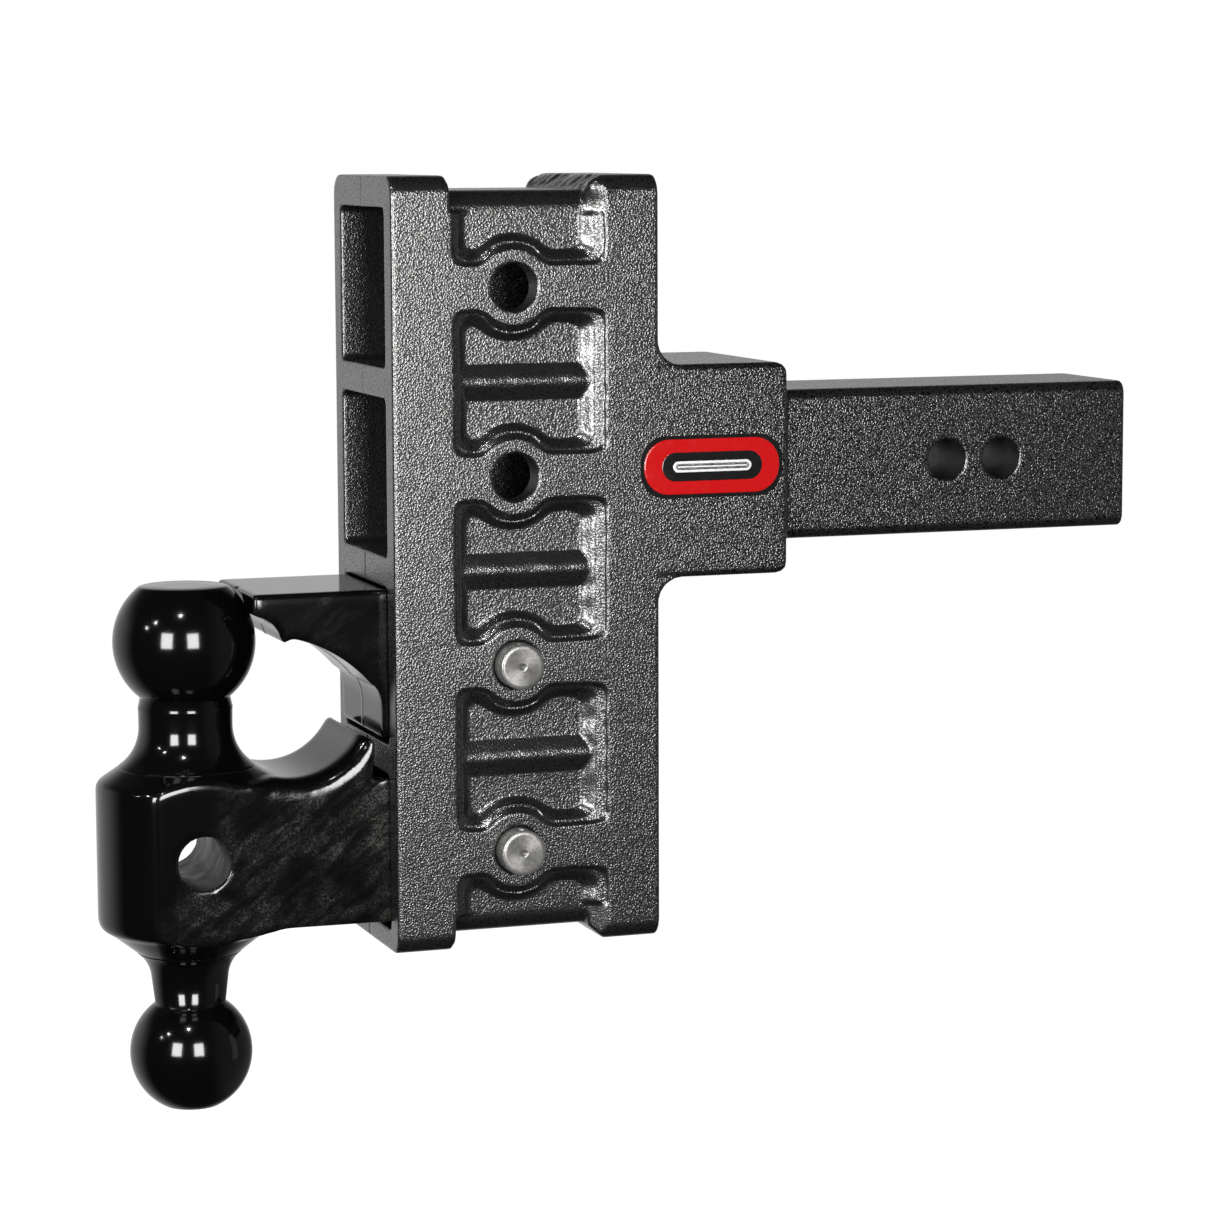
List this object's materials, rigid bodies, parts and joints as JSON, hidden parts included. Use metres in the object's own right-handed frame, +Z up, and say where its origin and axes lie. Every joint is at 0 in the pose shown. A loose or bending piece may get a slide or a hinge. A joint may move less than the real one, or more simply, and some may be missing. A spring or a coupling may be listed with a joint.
{
  "type": "trailer hitch with ball",
  "caption": "Drop hitch: cast ladder frame on a square receiver shank, with a dual-ball mount and a pintle lock held in its windows by cross pins with pull rings.",
  "frame": {"origin": "centre of the shank's outer hitch-pin bore, on its mid-plane", "axes": "+X towards the vehicle's receiver along the shank, +Y to the side the pins are pulled from, +Z up"},
  "size_m": [0.4499, 0.1196, 0.3849],
  "materials": {
    "hammertone_coat": "charcoal hammertone powder coat on a casting",
    "black_forging": "gloss black on a forging",
    "turned_stainless": "turned stainless steel",
    "bright_wire": "drawn bright steel wire",
    "badge_black": "gloss",
    "badge_red": "gloss"
  },
  "bodies": {
    "hitch": {"drop_frame": "hammertone_coat", "shank": "hammertone_coat", "shank_weld": "hammertone_coat", "badge_base": "badge_black", "badge_face": "badge_red", "dual_ball_mount": "black_forging", "pintle_lock": "black_forging"},
    "upper_pin": {"upper_pin": "turned_stainless"},
    "lower_pin": {"lower_pin": "turned_stainless"},
    "upper_pull_ring": {"upper_pull_ring": "bright_wire"},
    "lower_pull_ring": {"lower_pull_ring": "bright_wire"}
  },
  "joints": [
    {"name": "upper_pin_pull", "type": "slide", "parent": "hitch", "child": "upper_pin", "axis": [0, 1, 0], "range_m": [0, 0.105]},
    {"name": "lower_pin_pull", "type": "slide", "parent": "hitch", "child": "lower_pin", "axis": [0, 1, 0], "range_m": [0, 0.105]},
    {"name": "upper_ring_swing", "type": "hinge", "parent": "upper_pin", "child": "upper_pull_ring", "pos_m": [-0.2238, 0.05875, -0.0784], "axis": [1, 0, 0], "range_deg": [-20, 170]},
    {"name": "lower_ring_swing", "type": "hinge", "parent": "lower_pin", "child": "lower_pull_ring", "pos_m": [-0.2238, 0.05875, -0.1559], "axis": [1, 0, 0], "range_deg": [-20, 170]}
  ]
}
